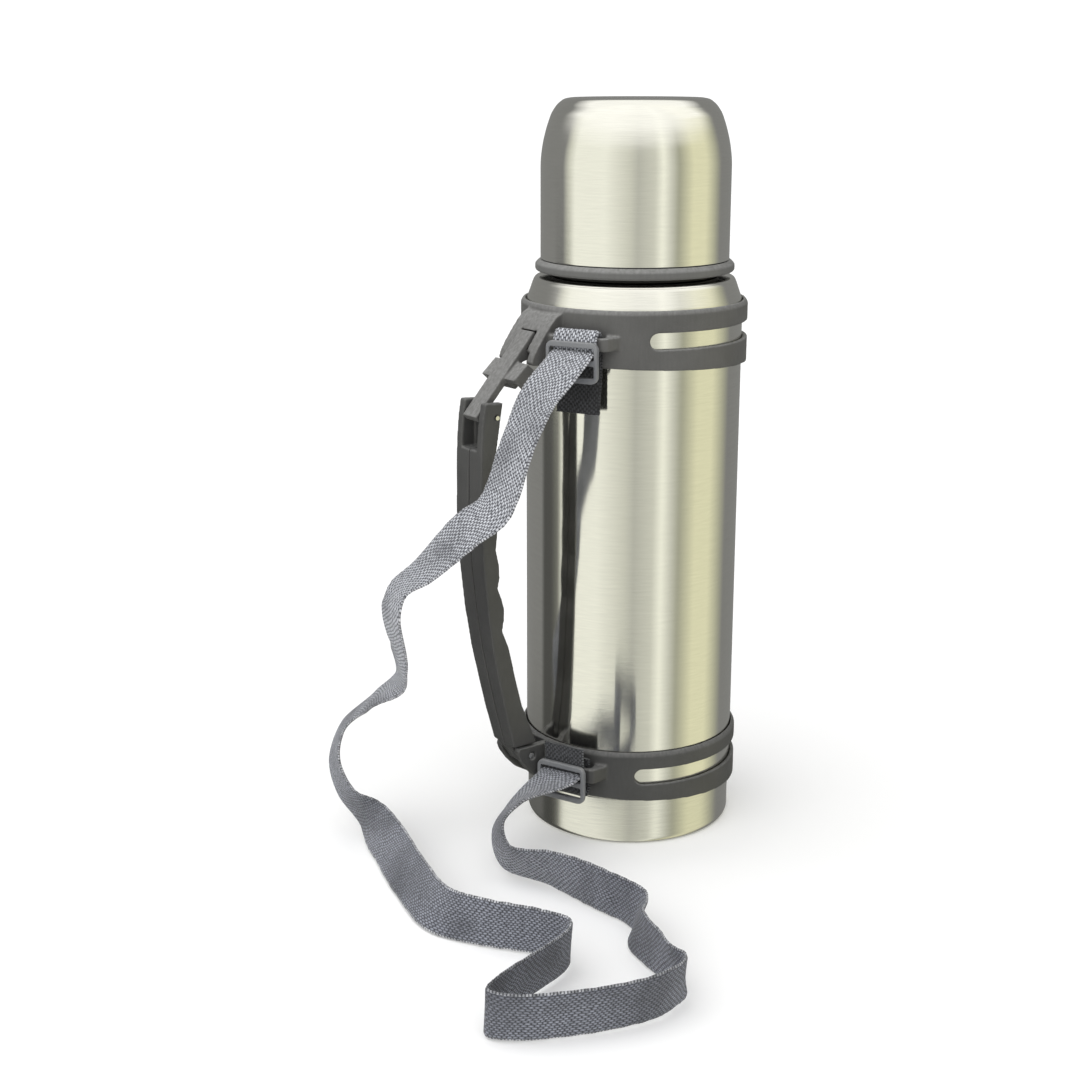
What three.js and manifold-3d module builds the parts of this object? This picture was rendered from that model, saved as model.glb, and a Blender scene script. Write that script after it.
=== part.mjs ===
// Stainless-steel vacuum flask with a drinking-cup lid, a folding carrying handle and a webbing strap.
// Millimetres, +Z up. The pieces are drawn about the flask's axis, on the plane it stands on, and the
// whole group is then moved so that the origin is under the middle of the flask and its handle.
// The handle reaches out along -X; "turn" is the angle round the axis from the handle towards -Y.
import * as THREE from "three";
import { mergeVertices } from "three/addons/utils/BufferGeometryUtils.js";
import Module from "manifold-3d";

// Driving dimensions
const AXIS_X = 19.2; // where the flask's axis stands, beside the origin
const BODY_R = 47; // outer wall of the flask
const STEEL = 0.8; // thickness of every steel wall
const GAP = 0.3; // clearance between neighbouring pieces
const VESSEL_R = 42; // inner bottle
const NECK_R = 30.2; // neck of the outer shell
const VESSEL_SHOULDER = 222; // where the inner bottle starts to narrow
const MOUTH_R = 27.4; // bore of the inner bottle's neck
const BASE_TOP = 21.1; // upper edge of the steel base cap
const SHOULDER_LOW = 236.2; // where the wall turns in to the shoulder
const SHOULDER_TOP = 247.2; // flat top of the shoulder, round the neck
const RIM_TOP = 263.2; // rolled rim of the mouth
const CUP_R = 40.8; // steel cup
const CUP_BEND = 296; // where the cup starts to round over
const CUP_LOW = 249.3; // lower edge of the cup's ring
const RING_HIGH = 4.8; // height of the cup's ring
const CUP_TOP = 322; // overall height
const UPPER_BAND = {
  r: 49.3,
  top: 237.9,
  low: 212.2,
  tilt: 2.0, // how far the lower edge dips on the side away from the handle
  slotLow: 221.7,
  slotHigh: 228.6,
  slotStart: 59, // where the long slot starts, in degrees from the handle
};
const LOWER_BAND = {
  r: 49.0,
  top: 44.0,
  low: 20.2,
  tilt: 2.6,
  slotLow: 29.3,
  slotHigh: 36.4,
  slotStart: 54.6,
};
const STRAP_WIDTH = 20;
const WEB = 1.4; // thickness of the webbing
const UPPER_STRAP_TURN = 25.5; // where the strap is fixed on the upper band
const LOWER_STRAP_TURN = 21.2; // where it is fixed on the lower band
const LUG_HINGE = [61, 40.5]; // handle pivot on the lower band: distance from the axis, height
const LINK_HINGE = [59, 220.5]; // link pivot on the upper band
const CROSS_PIN = [79.3, 194.5]; // pin through the top of the grip
const GRIP_HALF = 9.5; // half the grip's width
const TONGUE_HALF = 4.9; // half the link's width
const SLOT_HALF = 5.5; // half the width of the slots that the link works in
const LUG_HALF = 8.6; // half the width of the lower lug
const BRACKET_HALF = 12; // half the width of the upper bracket
const PIN_R = 1.4; // hinge pins
const PIN_HOLE = PIN_R + GAP; // holes that the hinge pins turn in
const ROUND = 44; // facets round the flask
const INNER_ROUND = 32; // facets of the pieces inside

const wasm = await Module();
wasm.setup();

// ---- tools --------------------------------------------------------------------------------

function toSolid(geometry) {
  const bare = new THREE.BufferGeometry();
  const loose = geometry.index ? geometry.toNonIndexed() : geometry;
  bare.setAttribute("position", loose.getAttribute("position"));
  const merged = mergeVertices(bare, 1e-4);
  const mesh = new wasm.Mesh({
    numProp: 3,
    vertProperties: merged.attributes.position.array,
    triVerts: new Uint32Array(merged.index.array),
  });
  return new wasm.Manifold(mesh);
}

function toGeometry(solid) {
  const mesh = solid.simplify(0.02).getMesh();
  const geometry = new THREE.BufferGeometry();
  geometry.setAttribute("position", new THREE.BufferAttribute(new Float32Array(mesh.vertProperties), 3));
  geometry.setIndex(new THREE.BufferAttribute(new Uint32Array(mesh.triVerts), 1));
  return geometry;
}

// Joins the first group of geometries and cuts the second group out of it.
function carve(joined, cuts = []) {
  let body = toSolid(joined[0]);
  for (const piece of joined.slice(1)) body = body.add(toSolid(piece));
  for (const piece of cuts) body = body.subtract(toSolid(piece));
  return toGeometry(body);
}

const vectors = (points) => points.map(([a, b]) => new THREE.Vector2(a, b));

// Turns a [radius, height] outline round the flask's axis; the outline runs anticlockwise.
function turned(outline, facets = ROUND) {
  const geometry = new THREE.LatheGeometry(vectors(outline), facets);
  return geometry.rotateX(Math.PI / 2);
}

// Ring: a closed outline that stays off the axis.
const ring = (outline, facets = ROUND) => turned([...outline, outline[0]], facets);

// Extrudes an [out, up] outline of the handle's plane across the handle, from y = -half to half.
function slab(outline, half, offset = 0) {
  const shape = new THREE.Shape(vectors(outline.map(([out, up]) => [-out, up])));
  const geometry = new THREE.ExtrudeGeometry(shape, { depth: 2 * half, bevelEnabled: false });
  return geometry.rotateX(Math.PI / 2).translate(0, half + offset, 0);
}

function box(xs, ys, zs) {
  const geometry = new THREE.BoxGeometry(xs[1] - xs[0], ys[1] - ys[0], zs[1] - zs[0]);
  return geometry.translate((xs[0] + xs[1]) / 2, (ys[0] + ys[1]) / 2, (zs[0] + zs[1]) / 2);
}

function rod(radius, [low, high], facets = 24) {
  const geometry = new THREE.CylinderGeometry(radius, radius, high - low, facets).rotateX(Math.PI / 2);
  return geometry.translate(0, 0, (low + high) / 2);
}

// A pin across the handle's plane.
function crossRod(radius, [out, up], half, facets = 20) {
  return new THREE.CylinderGeometry(radius, radius, 2 * half, facets).translate(-out, 0, up);
}

const heading = (turn) => ((180 + turn) * Math.PI) / 180;

// Moves a piece modelled facing +X, at the axis, round to the given turn.
const faceTo = (geometry, turn) => geometry.rotateZ(heading(turn));

function arcPoints([cx, cy], radius, fromDeg, toDeg, steps) {
  const points = [];
  for (let i = 0; i <= steps; i += 1) {
    const a = THREE.MathUtils.degToRad(fromDeg + ((toDeg - fromDeg) * i) / steps);
    points.push([cx + radius * Math.cos(a), cy + radius * Math.sin(a)]);
  }
  return points;
}

// ---- flask --------------------------------------------------------------------------------

const outerShell = () =>
  ring([
    [BODY_R, BASE_TOP + GAP],
    [BODY_R, SHOULDER_LOW],
    [BODY_R - STEEL, SHOULDER_LOW],
    [BODY_R - STEEL, BASE_TOP + GAP],
  ]);

const shellShoulder = () =>
  ring([
    [BODY_R, SHOULDER_LOW + GAP],
    [46.6, 237.8],
    [43.9, 245.4],
    [43.1, 246.7],
    [41.6, SHOULDER_TOP],
    [NECK_R + GAP, SHOULDER_TOP],
    [NECK_R + GAP, SHOULDER_TOP - STEEL],
    [41.4, SHOULDER_TOP - STEEL],
    [42.4, 246],
    [43.2, 244.8],
    [45.9, 237.4],
    [BODY_R - STEEL, SHOULDER_LOW + GAP],
  ]);

const shellNeck = () =>
  ring([
    [NECK_R, SHOULDER_TOP - STEEL],
    [NECK_R, RIM_TOP - 1.2],
    [NECK_R - STEEL, RIM_TOP - 1.2],
    [NECK_R - STEEL, SHOULDER_TOP - STEEL],
  ]);

const innerVessel = () =>
  turned(
    [
      [0, 8],
      [38, 8],
      [41, 9.6],
      [VESSEL_R, 13],
      [VESSEL_R, VESSEL_SHOULDER],
      [VESSEL_R - STEEL, VESSEL_SHOULDER],
      [VESSEL_R - STEEL, 13.4],
      [40.4, 10.4],
      [37.7, 8 + STEEL],
      [0, 8 + STEEL],
    ],
    INNER_ROUND,
  );

const vesselShoulder = () =>
  ring(
    [
      [VESSEL_R, VESSEL_SHOULDER + GAP],
      [41, 227],
      [36, 234],
      [30, 240],
      [MOUTH_R + STEEL, 243.4],
      [MOUTH_R + STEEL, RIM_TOP - 0.8],
      [NECK_R, RIM_TOP - 0.8],
      [NECK_R, RIM_TOP],
      [MOUTH_R, RIM_TOP],
      [MOUTH_R, 243],
      [29.3, 239.2],
      [35.2, 233.4],
      [40.2, 226.6],
      [VESSEL_R - STEEL, VESSEL_SHOULDER + GAP],
    ],
    INNER_ROUND,
  );

const outerBottom = () =>
  turned([
    [0, 4.6],
    [44, 4.6],
    [45.3, 5.8],
    [45.3, 20.5],
    [44.6, 20.5],
    [44.6, 6.2],
    [43.7, 5.3],
    [0, 5.3],
  ]);

const vacuumSeal = () => rod(4, [3.1, 4.3]);

const baseCap = () =>
  turned([
    [0, 2],
    [36, 2],
    [38, 0],
    [44.4, 0],
    [45.8, 0.6],
    [46.4, 2],
    [46.4, BASE_TOP],
    [45.7, BASE_TOP],
    [45.7, 2.3],
    [45.2, 1.2],
    [44.2, 0.7],
    [38.3, 0.7],
    [36.3, 2.7],
    [0, 2.7],
  ]);

function neckCollar() {
  const thread = 36.6;
  return ring([
    [NECK_R + GAP, SHOULDER_TOP + GAP],
    [36.1, SHOULDER_TOP + GAP],
    [36.1, 250.4],
    [thread, 251],
    [thread, 251.8],
    [36.1, 252.4],
    [36.1, 254],
    [thread, 254.6],
    [thread, 255.4],
    [36.1, 256],
    [35.2, 258.6],
    [NECK_R + GAP, 258.6],
  ]);
}

// ---- cup lid ------------------------------------------------------------------------------

const cupShell = () =>
  turned([
    [CUP_R, CUP_LOW + RING_HIGH + GAP],
    [CUP_R, CUP_BEND],
    [39.9, 303],
    [38.3, 309.5],
    [36.2, 315.5],
    [33.8, 319],
    [31, 321.2],
    [28, 321.8],
    [0, CUP_TOP],
    [0, 321.2],
    [27.9, 321],
    [30.6, 320.4],
    [33.2, 318.3],
    [35.5, 315.1],
    [37.5, 309.3],
    [39.1, 302.9],
    [CUP_R - STEEL, CUP_BEND],
    [CUP_R - STEEL, CUP_LOW + RING_HIGH + GAP],
    [CUP_R, CUP_LOW + RING_HIGH + GAP],
  ]);

const cupLiner = () =>
  ring([
    [39.6, CUP_LOW + 0.8],
    [39.6, CUP_BEND - GAP],
    [38.1, CUP_BEND - GAP],
    [38.1, 261],
    [36.9, 259.4],
    [36.9, CUP_LOW + 0.8],
  ]);

const cupLinerCrown = () =>
  ring([
    [39.6, CUP_BEND],
    [38.7, 302.7],
    [37.1, 309.1],
    [35.1, 314.8],
    [32.9, 317.9],
    [30.4, 319.9],
    [28, 320],
    [28, 318.6],
    [29.8, 318.4],
    [31.9, 316.9],
    [33.8, 314],
    [35.7, 308.6],
    [37.3, 302.4],
    [38.1, CUP_BEND],
  ]);

const cupLinerTop = () => rod(27.7, [318.6, 320.2], INNER_ROUND);

const cupRing = () =>
  ring([
    [39.9, CUP_LOW],
    [42.3, CUP_LOW],
    [43.1, CUP_LOW + 0.8],
    [43.1, CUP_LOW + 3.2],
    [41.4, CUP_LOW + RING_HIGH],
    [39.9, CUP_LOW + RING_HIGH],
  ]);

// ---- stopper with its pouring valve ---------------------------------------------------------

function stopperBody() {
  const plug = ring(
    [
      [3.4, 240],
      [12, 240],
      [12, 237],
      [24, 237],
      [24, 238],
      [22.4, 238],
      [22.4, 241.8],
      [26.4, 241.8],
      [26.4, 247],
      [27, 248],
      [27, 249.4],
      [26.4, 250.4],
      [26.4, 255],
      [27, 256],
      [27, 257.4],
      [26.4, 258.4],
      [26.4, 265.4],
      [29.6, 265.4],
      [29.6, 268.2],
      [28.6, 269],
      [24.6, 269.6],
      [23.6, 282.6],
      [22, 284],
      [12.5, 284],
      [12.5, 272.8],
      [3.4, 272.8],
    ],
    INNER_ROUND,
  );
  const pourUp = rod(2.8, [239, 272], 16).translate(8.2, 0, 0);
  const pourOut = new THREE.CylinderGeometry(2.2, 2.2, 22, 16).rotateZ(Math.PI / 2).translate(19, 0, 270.6);
  return carve([plug], [pourUp, pourOut]);
}

const stopperGasket = () =>
  ring(
    [
      [22.7, 238.3],
      [26.2, 238.3],
      [27.1, 239.4],
      [27.1, 240.2],
      [26.2, 241.5],
      [22.7, 241.5],
    ],
    INNER_ROUND,
  );

const rimGasket = () =>
  ring(
    [
      [26.8, RIM_TOP + 0.3],
      [29.4, RIM_TOP + 0.3],
      [29.4, 265.1],
      [26.8, 265.1],
    ],
    INNER_ROUND,
  );

const pourButton = () =>
  turned(
    [
      [0, 281],
      [10.4, 281],
      [10.4, 277.4],
      [12, 277.4],
      [12, 285],
      [11, 286.2],
      [4, 286.6],
      [0, 286.4],
    ],
    INNER_ROUND,
  );

function buttonSpring() {
  const turns = 4;
  const steps = 16 * turns;
  const low = 273.8;
  const high = 280;
  const points = [];
  for (let i = 0; i <= steps; i += 1) {
    const a = (2 * Math.PI * i) / 16;
    points.push(new THREE.Vector3(7.4 * Math.cos(a), 7.4 * Math.sin(a), low + ((high - low) * i) / steps));
  }
  const wire = new THREE.Shape(vectors(arcPoints([0, 0], 0.5, 0, 300, 5)));
  return new THREE.ExtrudeGeometry(wire, {
    steps,
    bevelEnabled: false,
    extrudePath: new THREE.CatmullRomCurve3(points),
  });
}

const valveStem = () =>
  turned(
    [
      [0, 233],
      [5.6, 233],
      [6.2, 233.6],
      [6.2, 234.4],
      [2.9, 234.6],
      [2.9, 280.7],
      [0, 280.7],
    ],
    24,
  );

const valveSeal = () =>
  ring(
    [
      [3.2, 234.9],
      [13, 234.9],
      [13.6, 235.6],
      [13, 236.7],
      [3.2, 236.7],
    ],
    INNER_ROUND,
  );

// ---- bands --------------------------------------------------------------------------------

// A moulded hoop: its lower edge dips away from the handle, and a long slot runs round its back.
function hoop(band) {
  const lip = 1.1;
  const blank = ring([
    [BODY_R + GAP, band.low - 4],
    [band.r, band.low - 4],
    [band.r, band.top - 1.8],
    [band.r - lip, band.top],
    [BODY_R + GAP, band.top],
  ]);
  const below = box([-80, 80], [-80, 80], [-20, 0]);
  below.rotateY(Math.atan(band.tilt / band.r)).translate(0, 0, band.low);
  const half = (band.slotHigh - band.slotLow) / 2;
  const start = band.slotStart + THREE.MathUtils.radToDeg(half / band.r);
  const slot = new THREE.Shape();
  slot.absarc(0, 0, band.r + 3, heading(start), heading(360 - start), false);
  slot.absarc(0, 0, BODY_R - 2, heading(360 - start), heading(start), true);
  const cuts = [below];
  const sector = new THREE.ExtrudeGeometry(slot, { depth: 2 * half, bevelEnabled: false, curveSegments: 40 });
  cuts.push(sector.translate(0, 0, band.slotLow));
  for (const turn of [start, 360 - start]) {
    const end = new THREE.CylinderGeometry(half, half, 12, 16).rotateZ(Math.PI / 2);
    cuts.push(faceTo(end.translate(band.r, 0, 0), turn).translate(0, 0, band.slotLow + half));
  }
  return { blank, cuts };
}

// The bridge that the strap loops round: a straight bar standing off the band, with a foot at its far end.
function strapBar(turn, [low, high]) {
  const inside = 52.4;
  const outside = 54.8;
  const foot = STRAP_WIDTH / 2 + 0.8;
  const outline = [
    [inside, -14.5],
    [outside, -14.5],
    [outside, foot + 1],
    [outside - 1.2, foot + 3],
    [46.4, foot + 5.4],
    [46.4, foot],
    [inside - 0.6, foot],
    [inside, foot - 0.6],
  ];
  const shape = new THREE.Shape(vectors(outline));
  const bar = new THREE.ExtrudeGeometry(shape, { depth: high - low, bevelEnabled: false });
  return faceTo(bar.translate(0, 0, low), turn);
}

function upperBand() {
  const { blank, cuts } = hoop(UPPER_BAND);
  const bore = rod(BODY_R + GAP, [200, 240], ROUND);
  const arch = [
    [44, 214.2],
    [57, 214.2],
    [61, 214.1],
    [63.7, 215.6],
    [62.4, 219],
    [60.3, 222.4],
    [57.4, 226.6],
    [53.9, 231],
    [50.6, 234.2],
    [44, 237.6],
  ];
  const slot = box([-80, -49.6], [-SLOT_HALF, SLOT_HALF], [200, 227.9]);
  const notch = slab(
    [
      [60, 218.6],
      [66, 224],
      [70, 212],
      [61, 212],
    ],
    SLOT_HALF + 2.4,
  );
  const hole = crossRod(PIN_HOLE, LINK_HINGE, BRACKET_HALF - 1.4);
  const bar = strapBar(UPPER_STRAP_TURN, [221.6, 227.2]);
  return carve([blank, slab(arch, BRACKET_HALF), bar], [...cuts, bore, slot, notch, hole]);
}

function lowerBand() {
  const { blank, cuts } = hoop(LOWER_BAND);
  const bore = rod(BODY_R + GAP, [10, 50], ROUND);
  const lug = [
    [44, 23],
    [51.6, 25.8],
    [59.8, 30.6],
    [64, 35.2],
    [67.4, 40],
    [68.4, 43],
    [68, 45.1],
    [52, 45.1],
    [49.6, 43.6],
    [44, 43.6],
  ];
  const fork = box([-80, -49.6], [-5, 5], [10, 60]);
  const hole = crossRod(PIN_HOLE, LUG_HINGE, 20);
  const bar = strapBar(LOWER_STRAP_TURN, [31.2, 37.8]);
  return carve([blank, slab(lug, LUG_HALF), bar], [...cuts, bore, fork, hole]);
}

// ---- handle -------------------------------------------------------------------------------

const gripOuter = [
  [85, 201],
  [86.2, 194],
  [87.1, 184],
  [87.6, 170],
  [87.7, 152],
  [86.7, 132],
  [84.1, 108.5],
  [81.4, 92],
  [78, 76.5],
  [74.3, 61],
  [71.4, 50.4],
  [69.9, 45],
];

// Inner face, from the tail up, with a swelling between each two fingers.
const gripInner = [
  [61.6, 54],
  [66.4, 65.4],
  [70, 79],
  [73.6, 93.5],
  [76.9, 101.5],
  [76.2, 106],
  [76, 111],
  [77.4, 116],
  [79.4, 121],
  [78.4, 125.5],
  [78.6, 131],
  [80.2, 138],
  [79.4, 145],
  [79.2, 151],
  [80.9, 158],
  [80.6, 168],
  [80.4, 176],
  [79, 184],
  [77.4, 194],
  [76.3, 200.4],
];

function gripBlank() {
  const tail = [
    [66.4, 40.6],
    [64.4, 37.6],
    ...arcPoints(LUG_HINGE, 4.6, -50, -230, 8),
    [58.4, 46],
  ];
  const outline = [...gripOuter, ...tail, ...gripInner];
  const channelLow = 191.5;
  const windowLow = 181;
  const cutters = [
    box([-95, -72], [-SLOT_HALF, SLOT_HALF], [channelLow, 210]),
    box([-95, -80.4], [-SLOT_HALF, SLOT_HALF], [windowLow, 210]),
    crossRod(1.2, CROSS_PIN, 20, 16),
    crossRod(PIN_HOLE, LUG_HINGE, 20),
  ];
  // The grip narrows towards its tail, and the tail fits the fork of the lower lug.
  const plan = [
    [-GRIP_HALF, 215],
    [-GRIP_HALF, 120],
    [-8.4, 60],
    [-8, 46.2],
    [-4.7, 45.9],
    [-4.7, 25],
    [4.7, 25],
    [4.7, 45.9],
    [8, 46.2],
    [8.4, 60],
    [GRIP_HALF, 120],
    [GRIP_HALF, 215],
  ];
  const planShape = new THREE.Shape(vectors(plan));
  const taper = new THREE.ExtrudeGeometry(planShape, { depth: 60, bevelEnabled: false });
  taper.rotateX(Math.PI / 2).rotateZ(Math.PI / 2).translate(-100, 0, 0);
  let body = toSolid(slab(outline, GRIP_HALF)).intersect(toSolid(taper));
  for (const cut of cutters) body = body.subtract(toSolid(cut));
  // The outer edges are bevelled over the whole length of the grip.
  const bevelWide = 1.6;
  for (const side of [-1, 1]) {
    const edge = gripOuter.map(([out, up]) => [out - bevelWide, up]);
    const away = gripOuter.map(([out, up]) => [out + 6, up]).reverse();
    const bevel = slab([...edge, ...away], 3);
    const shear = new THREE.Matrix4().set(1, side * 0.8, 0, 0, 0, 1, 0, 0, 0, 0, 1, 0, 0, 0, 0, 1);
    bevel.applyMatrix4(shear).translate(-bevelWide, side * GRIP_HALF, 0);
    body = body.subtract(toSolid(bevel));
  }
  return body;
}

// The grip is two moulded halves; the seam runs down its middle.
function gripHalf(side) {
  const far = side * 40;
  const near = (side * GAP) / 2;
  const keep = box([-120, 0], [Math.min(near, far), Math.max(near, far)], [0, 260]);
  return toGeometry(gripBlank().intersect(toSolid(keep)));
}

// The link's tongue runs in the channel of the grip; its wings are hollow from below.
function handleLink() {
  const tongue = [
    [57.5, 228],
    [55.4, 226],
    ...arcPoints(LINK_HINGE, 3.8, 150, 250, 6),
    [63, 215.6],
    [66.2, 212.4],
    [70, 209],
    [84.9, 192.4],
    [87, 194.8],
  ];
  const wings = [
    [65.5, 216],
    [60, 211.1],
    [67.1, 204.5],
    [72.6, 209.6],
  ];
  const hole = crossRod(PIN_HOLE, LINK_HINGE, 20);
  const pockets = [-1, 1].map((side) => {
    const pocket = [
      [64.9, 212.8],
      [62.9, 211],
      [66.2, 202],
      [73.5, 204.8],
    ];
    return slab(pocket, 2.5, side * 8);
  });
  return carve([slab(tongue, TONGUE_HALF), slab(wings, 11.8)], [hole, ...pockets]);
}

const linkPin = () => crossRod(PIN_R, LINK_HINGE, BRACKET_HALF - 1.8);
const crossPin = () => crossRod(0.95, CROSS_PIN, GRIP_HALF + 0.3, 16);
const lugPin = () => crossRod(PIN_R, LUG_HINGE, LUG_HALF - 0.6);

// ---- strap --------------------------------------------------------------------------------

// Centre of the strap, from the upper slider to the lower one, and the way its width points there.
const STRAP_ROUTE = [
  [-52.2, -24.9, 221.3, 0.43, -0.9, 0],
  [-55, -26, 219.3, 0.43, -0.9, 0],
  [-62.5, -27.5, 213.6, 0.38, -0.92, -0.04],
  [-71, -27, 205, 0.22, -0.97, -0.12],
  [-83, -29, 187, 0.16, -0.98, 0.04],
  [-92, -25, 161, 0.08, -0.97, -0.24],
  [-101, -18, 152, 0, -0.94, -0.35],
  [-115, -6, 134, -0.2, -0.96, -0.18],
  [-124, -2, 127, -0.2, -0.98, 0],
  [-127, -1, 118, -0.18, -0.98, 0.06],
  [-118, 9, 93, -0.33, -0.92, 0.22],
  [-110, 26, 76, -0.42, -0.88, 0.2],
  [-112, 43, 62, -0.42, -0.88, 0.2],
  [-121, 53, 49, -0.38, -0.88, 0.29],
  [-126, 53, 35, -0.26, -0.89, 0.38],
  [-124, 48, 20, -0.08, -0.92, 0.38],
  [-120, 36, 11.8, 0.08, -0.88, 0.46],
  [-124, 12, 9.3, 0.2, -0.8, 0.56],
  [-134, -22, 9.4, 0.3, -0.66, 0.69],
  [-141, -56, 10.1, 0.34, -0.48, 0.8],
  [-134, -75, 10.6, 0.2, -0.22, 0.95],
  [-121, -95, 10.9, 0.05, -0.15, 0.98],
  [-115.5, -107, 10.9, -0.05, -0.17, 0.98],
  [-120, -113, 10.9, -0.1, -0.2, 0.97],
  [-162, -127, 10.8, -0.14, -0.2, 0.97],
  [-170.5, -133, 10.9, -0.02, -0.11, 0.99],
  [-165, -141.5, 10.9, -0.1, -0.1, 0.99],
  [-137, -155, 10.8, -0.13, -0.12, 0.98],
  [-112, -160, 11, -0.18, -0.15, 0.97],
  [-97, -154, 10.6, -0.32, -0.38, 0.87],
  [-94, -138, 10.5, -0.12, -0.47, 0.87],
  [-88, -116, 10.4, -0.05, -0.5, 0.86],
  [-77.5, -103, 10.4, 0, -0.42, 0.9],
  [-79, -80, 10.5, 0.03, -0.37, 0.93],
  [-84, -54, 10.4, -0.1, -0.45, 0.89],
  [-94, -35, 12, -0.17, -0.68, 0.71],
  [-92, -26.5, 21.5, -0.27, -0.79, 0.55],
  [-82, -24.5, 28.5, -0.3, -0.86, 0.42],
  [-57.2, -22.2, 34.5, 0.36, -0.93, 0],
  [-54, -20.9, 35.3, 0.36, -0.93, 0],
];

// A flat closed ribbon along the route, with four corners to each step.
function strap() {
  const steps = 120;
  const centre = new THREE.CatmullRomCurve3(
    STRAP_ROUTE.map(([x, y, z]) => new THREE.Vector3(x, y, z)),
    false,
    "centripetal",
  );
  const across = new THREE.CatmullRomCurve3(
    STRAP_ROUTE.map(([, , , u, v, w]) => new THREE.Vector3(u, v, w)),
    false,
    "centripetal",
  );
  const corners = [];
  for (let i = 0; i <= steps; i += 1) {
    const at = centre.getPoint(i / steps);
    const along = centre.getTangent(i / steps);
    const width = across.getPoint(i / steps);
    width.addScaledVector(along, -width.dot(along)).normalize();
    const face = new THREE.Vector3().crossVectors(along, width);
    for (const [w, f] of [[-1, -1], [1, -1], [1, 1], [-1, 1]]) {
      const corner = at.clone().addScaledVector(width, (w * STRAP_WIDTH) / 2);
      corners.push(corner.addScaledVector(face, (f * WEB) / 2));
    }
  }
  const faces = [];
  for (let i = 0; i < steps; i += 1) {
    for (let k = 0; k < 4; k += 1) {
      const a = 4 * i + k;
      const b = 4 * i + ((k + 1) % 4);
      faces.push(a, b, b + 4, a, b + 4, a + 4);
    }
  }
  const last = 4 * steps;
  faces.push(0, 2, 1, 0, 3, 2, last, last + 1, last + 2, last, last + 2, last + 3);
  const geometry = new THREE.BufferGeometry().setFromPoints(corners);
  return geometry.setIndex(faces);
}

// A short doubled length of webbing: a bent outline in the [out, up] plane at the strap's turn.
function webbingLoop(path, turn) {
  const points = path.map(([out, up]) => new THREE.Vector3(out, up, 0));
  const curve = new THREE.CatmullRomCurve3(points, false, "centripetal");
  const steps = 6 * path.length;
  const left = [];
  const right = [];
  for (let i = 0; i <= steps; i += 1) {
    const at = curve.getPoint(i / steps);
    const along = curve.getTangent(i / steps);
    left.push([at.x - (along.y * WEB) / 2, at.y + (along.x * WEB) / 2]);
    right.push([at.x + (along.y * WEB) / 2, at.y - (along.x * WEB) / 2]);
  }
  const shape = new THREE.Shape(vectors([...left, ...right.reverse()]));
  const sheet = new THREE.ExtrudeGeometry(shape, { depth: STRAP_WIDTH, bevelEnabled: false });
  sheet.rotateX(Math.PI / 2).translate(0, STRAP_WIDTH / 2, 0);
  return faceTo(sheet, turn);
}

const upperLoop = () =>
  webbingLoop(
    [
      [56, 219.6],
      [56, 226.4],
      [53.5, 229.6],
      [50.7, 226.4],
      [50.7, 212],
      [51.6, 204],
      [52.8, 195],
    ],
    UPPER_STRAP_TURN,
  );

const lowerLoop = () =>
  webbingLoop(
    [
      [56.2, 47.4],
      [56, 40],
      [56, 27.6],
      [53.5, 24.8],
      [50.7, 27.6],
      [50.7, 41],
    ],
    LOWER_STRAP_TURN,
  );

// Three-bar slider: a rounded frame with two slots that the webbing threads through.
function slider(turn, mid) {
  const wide = 11.9;
  const high = 8.5;
  const corner = 3;
  const frame = new THREE.Shape();
  frame.absarc(wide - corner, high - corner, corner, 0, Math.PI / 2, false);
  frame.absarc(corner - wide, high - corner, corner, Math.PI / 2, Math.PI, false);
  frame.absarc(corner - wide, corner - high, corner, Math.PI, 1.5 * Math.PI, false);
  frame.absarc(wide - corner, corner - high, corner, 1.5 * Math.PI, 2 * Math.PI, false);
  for (const [low, top] of [[1.1, 6.1], [-6.1, -1.1]]) {
    const slot = new THREE.Path();
    slot.moveTo(-10.25, low);
    slot.lineTo(-10.25, top);
    slot.lineTo(10.25, top);
    slot.lineTo(10.25, low);
    frame.holes.push(slot);
  }
  const plate = new THREE.ExtrudeGeometry(frame, { depth: 2.2, bevelEnabled: false, curveSegments: 5 });
  plate.rotateX(Math.PI / 2).rotateZ(Math.PI / 2).translate(57.3, 0, mid);
  return faceTo(plate, turn);
}

// ---- materials ----------------------------------------------------------------------------

function finish(color, roughness, metalness) {
  return new THREE.MeshStandardMaterial({ color, roughness, metalness });
}

const steel = () => finish(0xc9c8bd, 0.3, 1);
const darkPlastic = () => finish(0x4b4b49, 0.55, 0);
const ringPlastic = () => finish(0x6a6a67, 0.5, 0);
const blackPlastic = () => finish(0x232323, 0.5, 0);
const rubber = () => finish(0x8d8d88, 0.8, 0);
const buckle = () => finish(0x8f9296, 0.4, 0);
const webbing = () => finish(0x8d9098, 0.9, 0);

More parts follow.
